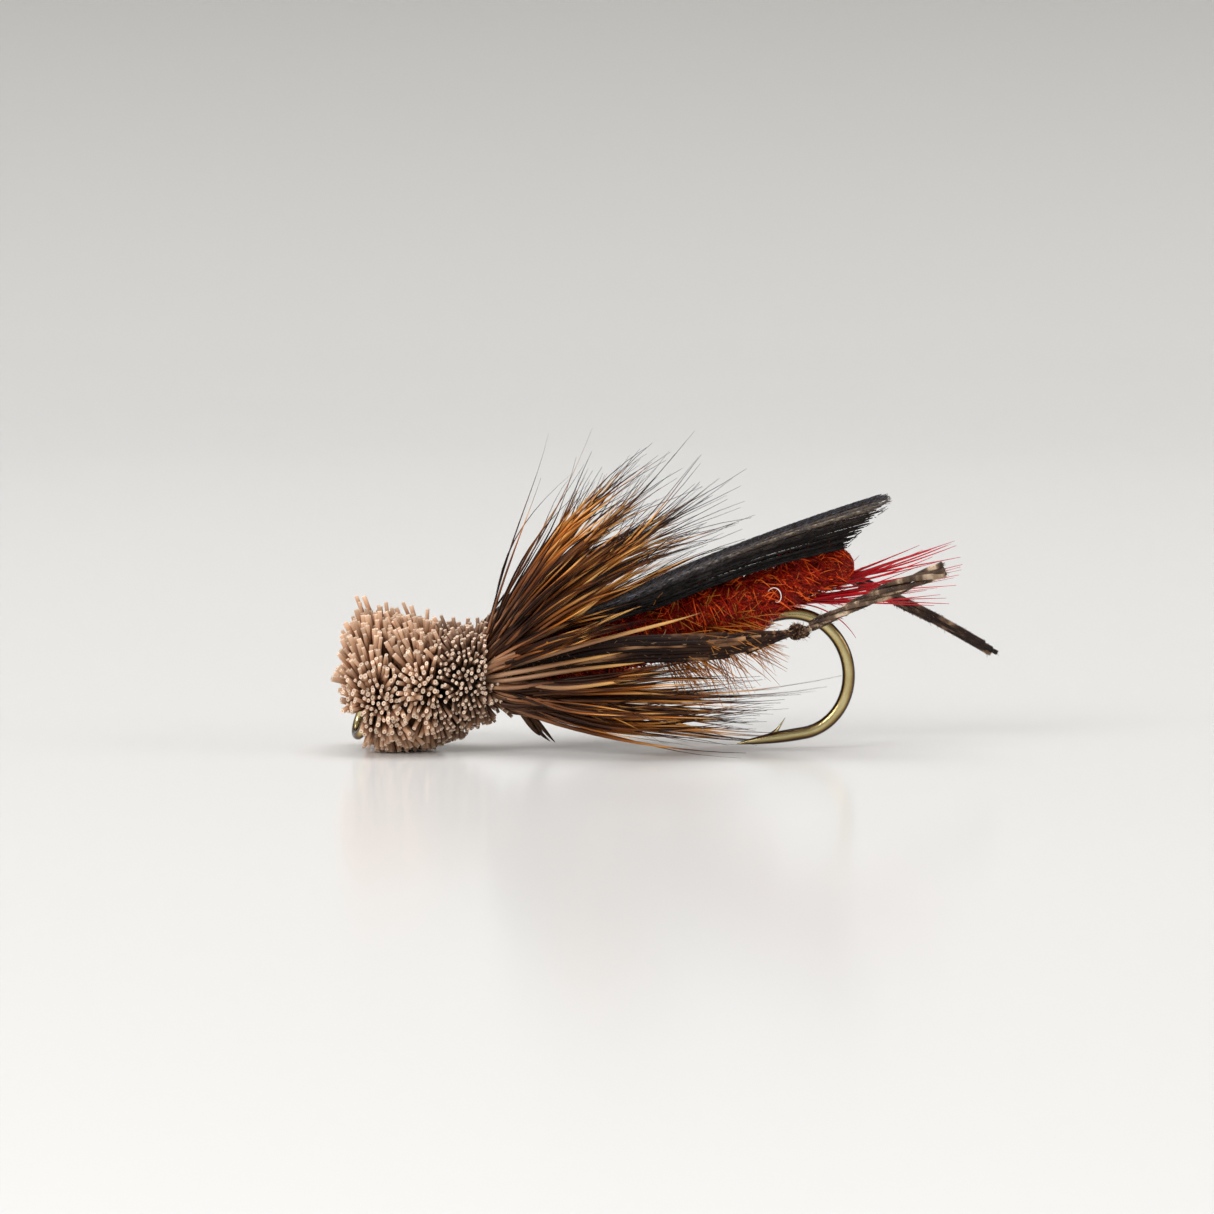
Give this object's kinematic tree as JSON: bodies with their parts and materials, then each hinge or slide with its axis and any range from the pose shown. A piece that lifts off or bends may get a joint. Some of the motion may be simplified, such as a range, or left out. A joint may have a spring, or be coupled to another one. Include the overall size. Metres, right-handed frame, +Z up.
{
  "type": "dry fly",
  "caption": "Grasshopper dry fly on a long-shank hook, with a clipped deer-hair head, flared hair collar, folded quill wing, yarn body, red tail and knotted legs.",
  "frame": {"origin": "middle of the flat clipped underside of the deer-hair head, on the surface the fly stands on", "axes": "+X from the hook's eye towards the tail, +Z up, +Y towards the far side of the fly"},
  "size_m": [0.033, 0.0178, 0.0153],
  "materials": {
    "hook_wire": "polished",
    "thread": "satin",
    "yarn": "matte",
    "tail_fibre": "satin",
    "hackle": "satin",
    "quill": "satin",
    "leg_fibre": "satin",
    "hair_tips": "satin",
    "hair_butts": "matte"
  },
  "bodies": {
    "dressed_hook": {"hook": "hook_wire", "thread_underbody": "thread", "thread_collar_band": "thread", "thread_whip_finish": "thread", "yarn_body": "yarn", "yarn_loop": "yarn", "tail_fibres": "tail_fibre", "palmered_hackle": "hackle", "wing_slip": "quill", "trimmed_butts": "leg_fibre", "collar_top": "hair_tips", "collar_upper_near": "hair_tips", "collar_upper_far": "hair_tips", "collar_side_near": "hair_tips", "collar_side_far": "hair_tips", "collar_lower_near": "hair_tips", "collar_lower_far": "hair_tips", "collar_under_near": "hair_tips", "collar_under_far": "hair_tips", "head_front": "hair_butts", "head_rear": "hair_butts"},
    "near_thigh": {"near_femur": "leg_fibre", "near_knee_knot": "leg_fibre"},
    "near_shin": {"near_tibia": "leg_fibre"},
    "far_thigh": {"far_femur": "leg_fibre", "far_knee_knot": "leg_fibre"},
    "far_shin": {"far_tibia": "leg_fibre"}
  },
  "joints": [
    {"name": "near_hip", "type": "hinge", "parent": "dressed_hook", "child": "near_thigh", "pos_m": [0.00597, -0.00125, 0.0041], "axis": [0, -1, 0], "range_deg": [-6, 8], "stiffness_Nm_per_rad": 0.00005},
    {"name": "near_knee", "type": "hinge", "parent": "near_thigh", "child": "near_shin", "pos_m": [0.0201, -0.00288, 0.0062], "axis": [0, -1, 0], "range_deg": [-20, 20], "stiffness_Nm_per_rad": 0.000002},
    {"name": "far_hip", "type": "hinge", "parent": "dressed_hook", "child": "far_thigh", "pos_m": [0.00597, 0.00125, 0.0041], "axis": [0, -1, 0], "range_deg": [-6, 8], "stiffness_Nm_per_rad": 0.00005},
    {"name": "far_knee", "type": "hinge", "parent": "far_thigh", "child": "far_shin", "pos_m": [0.0224, 0.00288, 0.00875], "axis": [0, -1, 0], "range_deg": [-20, 20], "stiffness_Nm_per_rad": 0.000002}
  ]
}
